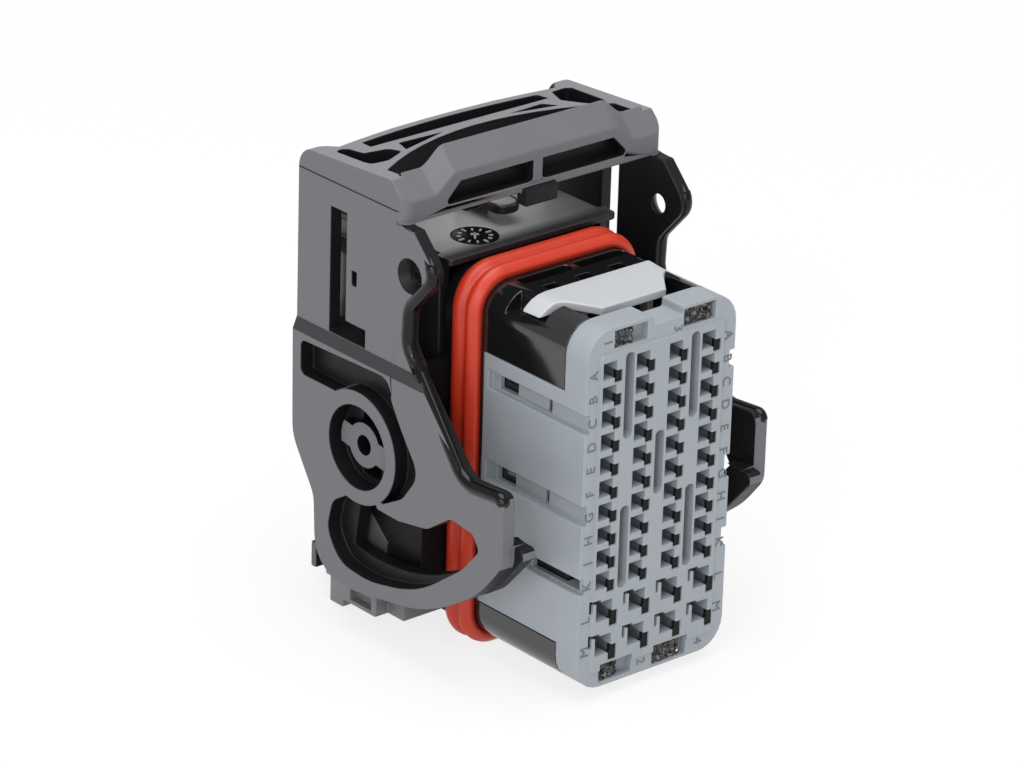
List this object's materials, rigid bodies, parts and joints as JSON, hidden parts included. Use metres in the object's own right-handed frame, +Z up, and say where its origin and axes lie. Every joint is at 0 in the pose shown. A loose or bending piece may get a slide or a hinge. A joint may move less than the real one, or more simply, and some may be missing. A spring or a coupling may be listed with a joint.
{
  "type": "sealed automotive connector",
  "caption": "Sealed automotive plug connector with a grey front cap, red interface seal, sliding terminal lock, wire cover and a pivoting pull-in lever.",
  "frame": {"origin": "Middle of the front cap's mating face.", "axes": "+X runs across the columns of cavities, +Y backwards from the mating face to the wires, and +Z up the rows of cavities towards the lever's cross bar. The part stands on the wire cover and the interface seal."},
  "size_m": [0.0422, 0.0485, 0.0638],
  "materials": {
    "cap_grey": "satin",
    "housing_black": "gloss",
    "lock_grey": "satin",
    "seal_red": "satin",
    "mat_red": "matte",
    "retainer_black": "satin",
    "cover_black": "satin",
    "lever_black": "satin"
  },
  "bodies": {
    "plug": {"front_cap": "cap_grey", "housing": "housing_black", "interface_seal": "seal_red", "mat_seal": "mat_red", "seal_retainer": "retainer_black", "wire_cover": "cover_black"},
    "lock": {"secondary_lock": "lock_grey"},
    "lever": {"lever": "lever_black"}
  },
  "joints": [
    {"name": "lever_turn", "type": "hinge", "parent": "plug", "child": "lever", "pos_m": [0, 0.0307, 0.0006], "axis": [-1, 0, 0], "range_deg": [0, 80]},
    {"name": "lock_slide", "type": "slide", "parent": "plug", "child": "lock", "axis": [0, 0, 1], "range_m": [0, 0.0024]}
  ]
}
